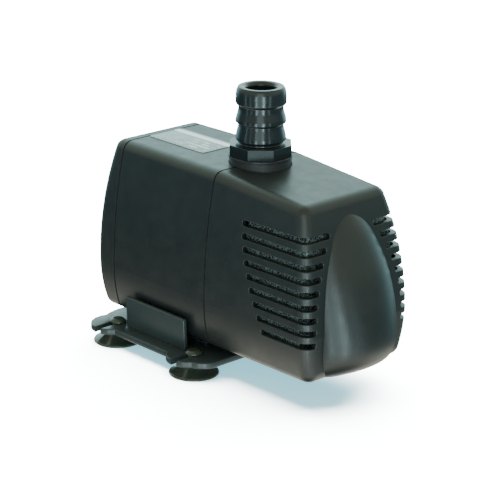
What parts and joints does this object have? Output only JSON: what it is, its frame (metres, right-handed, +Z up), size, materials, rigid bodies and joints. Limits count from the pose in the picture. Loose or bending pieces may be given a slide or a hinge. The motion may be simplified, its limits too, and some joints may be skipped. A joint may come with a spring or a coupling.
{
  "type": "submersible fountain pump",
  "caption": "Submersible fountain pump with slotted strainer cover, hose tail outlet on top and suction-cup base.",
  "frame": {"origin": "centre of the bounding box at the floor that the suction cups stand on", "axes": "+X along the rotor axis towards the strainer's nose, +Z up along the outlet, XZ is the plane of symmetry"},
  "size_m": [0.184, 0.1076, 0.1539],
  "materials": {
    "casing_black": "satin moulded",
    "base_black": "satin moulded",
    "gloss_black": "gloss moulded",
    "gland_rubber": "matt",
    "label_silver": "satin foil",
    "inner_plastic": "matt moulded",
    "lamination_steel": "stacked sheet",
    "copper_wire": "enamelled",
    "potting_resin": "cast resin",
    "ceramic_white": "polished",
    "seal_rubber": "matt",
    "ferrite_magnet": "sintered",
    "impeller_plastic": "moulded",
    "screw_steel": "stainless",
    "filter_foam": "open-cell foam",
    "cup_rubber": "soft gloss rubber"
  },
  "bodies": {
    "base": {"base_bracket": "base_black", "suction_cup_rear_left": "cup_rubber", "suction_cup_rear_right": "cup_rubber", "suction_cup_front_left": "cup_rubber", "suction_cup_front_right": "cup_rubber"},
    "pump": {"motor_casing": "casing_black", "rear_cap": "casing_black", "cable_gland": "gland_rubber", "rating_label": "label_silver", "rotor_can": "inner_plastic", "stator_core": "lamination_steel", "bobbin_left": "inner_plastic", "bobbin_right": "inner_plastic", "winding_left": "copper_wire", "winding_right": "copper_wire", "thermal_cutout": "inner_plastic", "potting_compound": "potting_resin", "shaft": "ceramic_white", "rear_bush": "seal_rubber", "front_bush": "seal_rubber", "rear_thrust_washer": "ceramic_white", "front_thrust_washer": "ceramic_white", "volute_casing": "inner_plastic", "volute_seal": "seal_rubber", "volute_cover": "inner_plastic", "volute_screws": "screw_steel"},
    "rotor": {"rotor_magnet": "ferrite_magnet", "rotor_carrier": "impeller_plastic"},
    "impeller": {"impeller": "impeller_plastic"},
    "strainer": {"front_cover": "casing_black", "prefilter_sponge": "filter_foam"},
    "outlet_seal": {"outlet_seal": "seal_rubber"},
    "hose_tail": {"hose_tail": "gloss_black"}
  },
  "joints": [
    {"name": "base_slide", "type": "slide", "parent": "base", "child": "pump", "axis": [1, 0, 0], "range_m": [0, 0.07]},
    {"name": "rotor_spin", "type": "hinge", "parent": "pump", "child": "rotor", "pos_m": [0, 0, 0.056], "axis": [1, 0, 0], "continuous": true},
    {"name": "impeller_play", "type": "hinge", "parent": "rotor", "child": "impeller", "pos_m": [0, 0, 0.056], "axis": [1, 0, 0], "range_deg": [-120, 120]},
    {"name": "cover_slide", "type": "slide", "parent": "pump", "child": "strainer", "axis": [1, 0, 0], "range_m": [0, 0.1]},
    {"name": "seal_lift", "type": "slide", "parent": "pump", "child": "outlet_seal", "axis": [0, 0, 1], "range_m": [0, 0.0128]},
    {"name": "hose_tail_turn", "type": "hinge", "parent": "outlet_seal", "child": "hose_tail", "pos_m": [0.0012, 0, 0.116], "axis": [0, 0, 1], "range_deg": [0, 2520]}
  ],
  "couplings": [
    {"joint": "seal_lift", "follows": "hose_tail_turn", "m_per_rad": 0.0002887}
  ]
}
